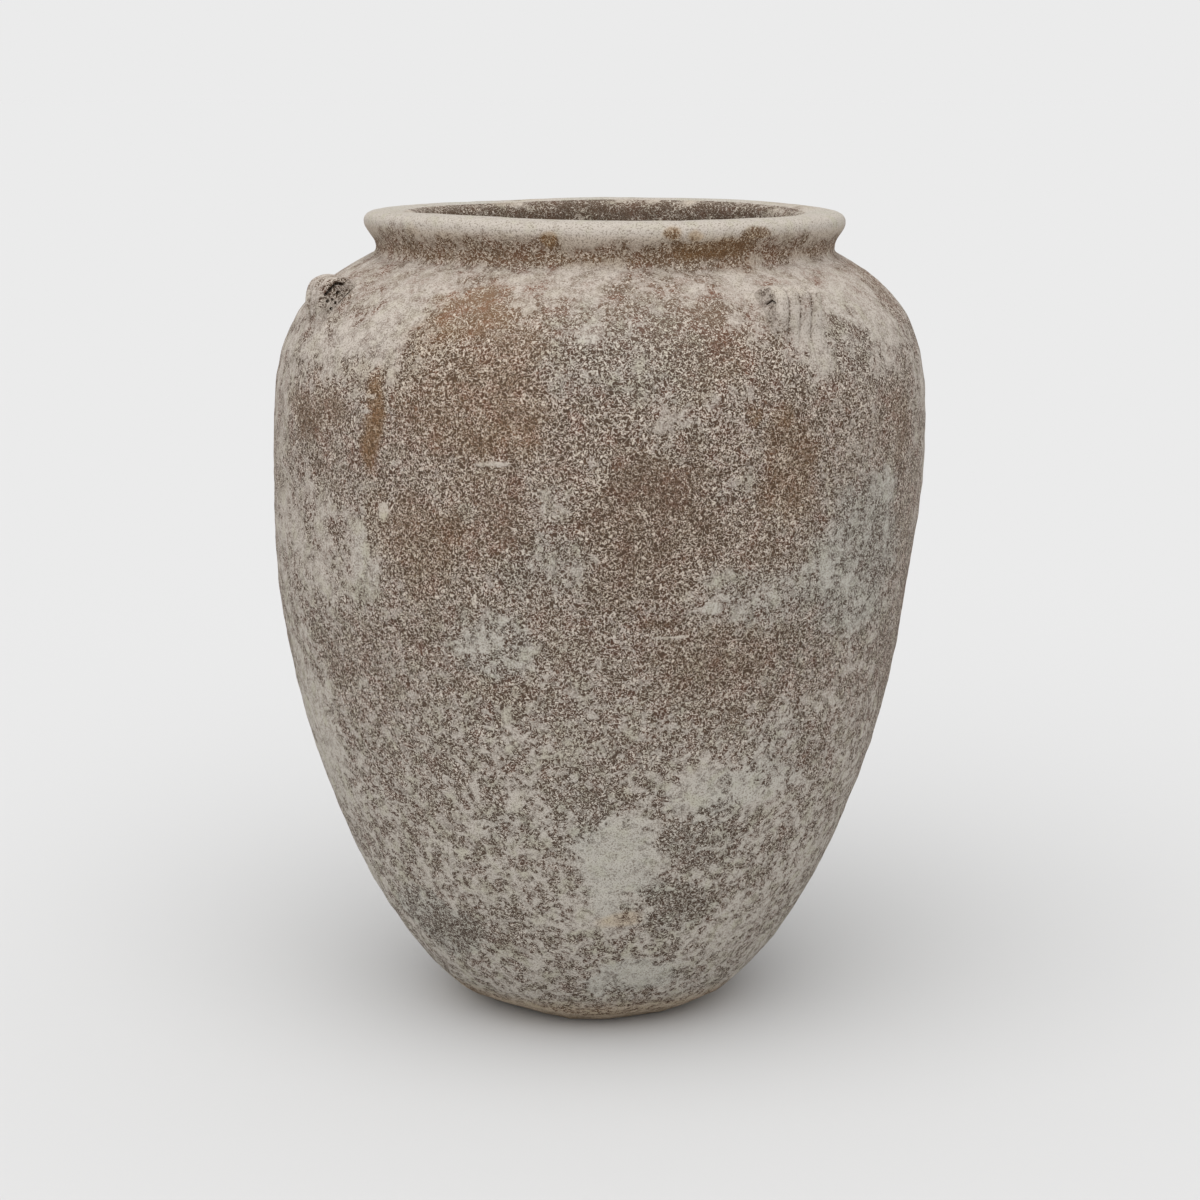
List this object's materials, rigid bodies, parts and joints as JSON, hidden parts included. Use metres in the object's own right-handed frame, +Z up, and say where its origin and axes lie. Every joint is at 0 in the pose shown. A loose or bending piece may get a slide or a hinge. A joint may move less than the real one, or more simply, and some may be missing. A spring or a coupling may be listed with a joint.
{
  "type": "pithos storage jar",
  "caption": "Large weathered clay pithos: a wide-mouthed storage jar with a rolled lip, short neck, full belly, narrow flat foot and ribbed strap lugs on the shoulder.",
  "frame": {"origin": "centre of the flat foot, on the ground", "axes": "+Z up along the jar's axis, -Y towards the front as pictured, +X to the right of that view"},
  "size_m": [0.6466, 0.6466, 0.8],
  "materials": {
    "coarse_terracotta": "matte coarse fired clay, brown, with a worn and flecked crust of pale lime",
    "limed_terracotta": "matte coarse fired clay under a nearly whole coat of pale lime"
  },
  "bodies": {
    "root": {"floor_slab": "coarse_terracotta", "foot_course": "coarse_terracotta", "lower_course": "coarse_terracotta", "waist_course": "coarse_terracotta", "belly_course": "coarse_terracotta", "shoulder_course": "coarse_terracotta", "crown_course": "coarse_terracotta", "neck_collar": "coarse_terracotta", "rim_lip": "limed_terracotta", "lug_front_left": "limed_terracotta", "lug_front_right": "limed_terracotta", "lug_rear_right": "limed_terracotta", "lug_rear_left": "limed_terracotta"}
  },
  "joints": []
}
